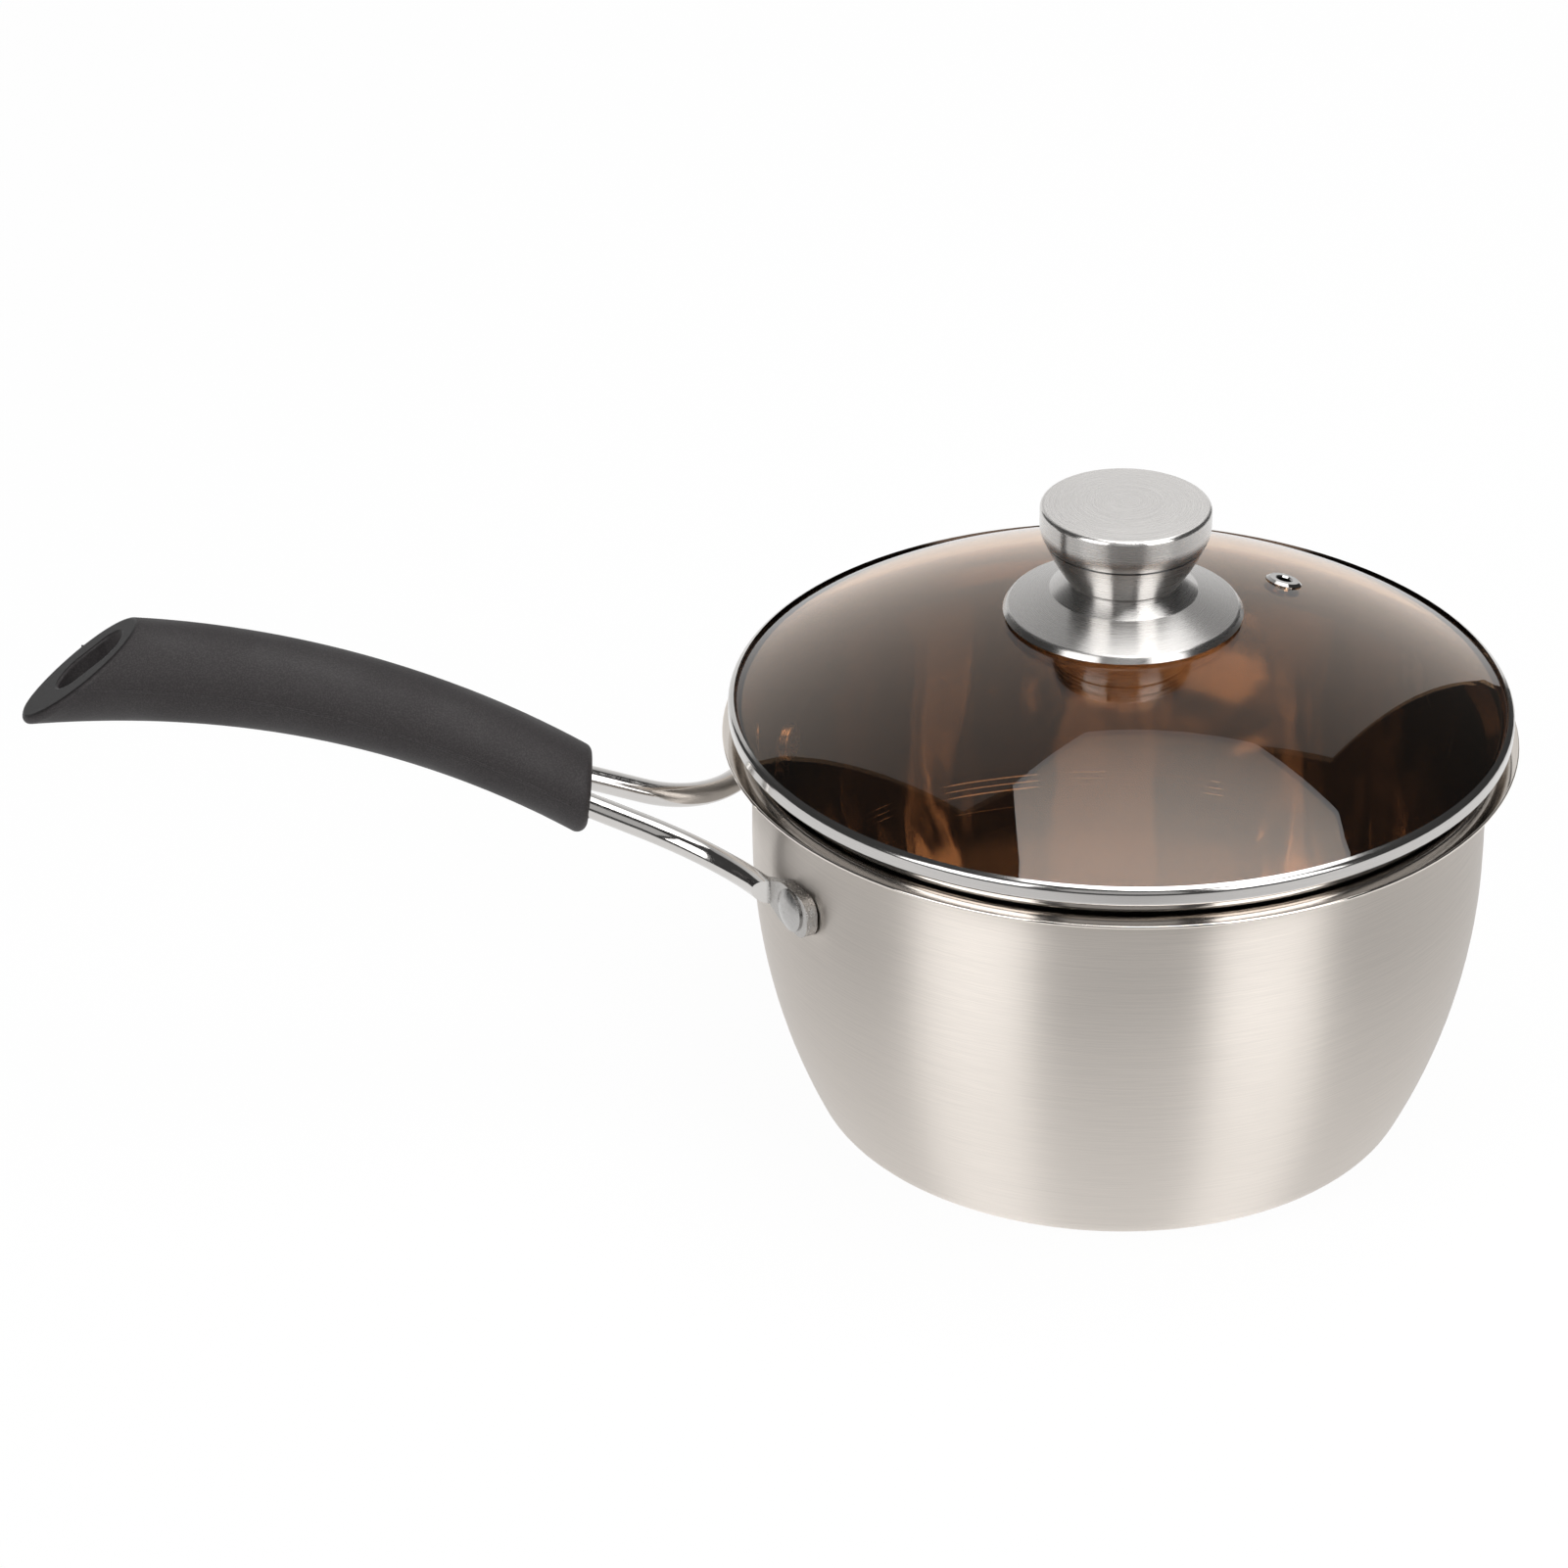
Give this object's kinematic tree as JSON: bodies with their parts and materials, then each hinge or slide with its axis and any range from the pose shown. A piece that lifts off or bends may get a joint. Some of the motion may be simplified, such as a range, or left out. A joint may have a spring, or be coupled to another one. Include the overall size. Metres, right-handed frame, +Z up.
{
  "type": "saucepan with glass lid",
  "caption": "Brushed steel saucepan with a bellied wall and flared lip, a black grip on riveted steel rods, and a lift-off domed tinted glass lid with a steel band, knob and steam vent",
  "frame": {"origin": "centre of the flat base, on the plane that the pan stands on", "axes": "+Z up along the pan's axis, -X along the handle away from the pan, +Y to the left of the person who holds the handle"},
  "size_m": [0.3724, 0.199, 0.1673],
  "materials": {
    "brushed_steel": "satin brushed round the wall",
    "knob_steel": "turned satin, fine rings",
    "polished_steel": "mirror polished",
    "rivet_steel": "satin",
    "band_steel": "polished, rolled",
    "black_grip": "fine matt moulding",
    "tinted_glass": "polished, brown tint",
    "plain_steel": "plain machined",
    "clear_silicone": "soft, translucent grey"
  },
  "bodies": {
    "pan": {"pan_body": "brushed_steel", "left_arm": "polished_steel", "right_arm": "polished_steel", "left_rivet": "rivet_steel", "right_rivet": "rivet_steel", "handle_grip": "black_grip"},
    "lid": {"lid_glass": "tinted_glass", "lid_band": "band_steel", "vent_eyelet": "polished_steel", "knob_cap": "knob_steel", "knob_cup": "knob_steel", "knob_skirt": "knob_steel", "knob_nut": "plain_steel", "knob_screw": "plain_steel", "knob_washer": "plain_steel", "glass_pad": "clear_silicone", "skirt_ring": "clear_silicone"}
  },
  "joints": [
    {"name": "lid_lift", "type": "slide", "parent": "pan", "child": "lid", "axis": [0, 0, 1], "range_m": [0, 0.12]}
  ]
}
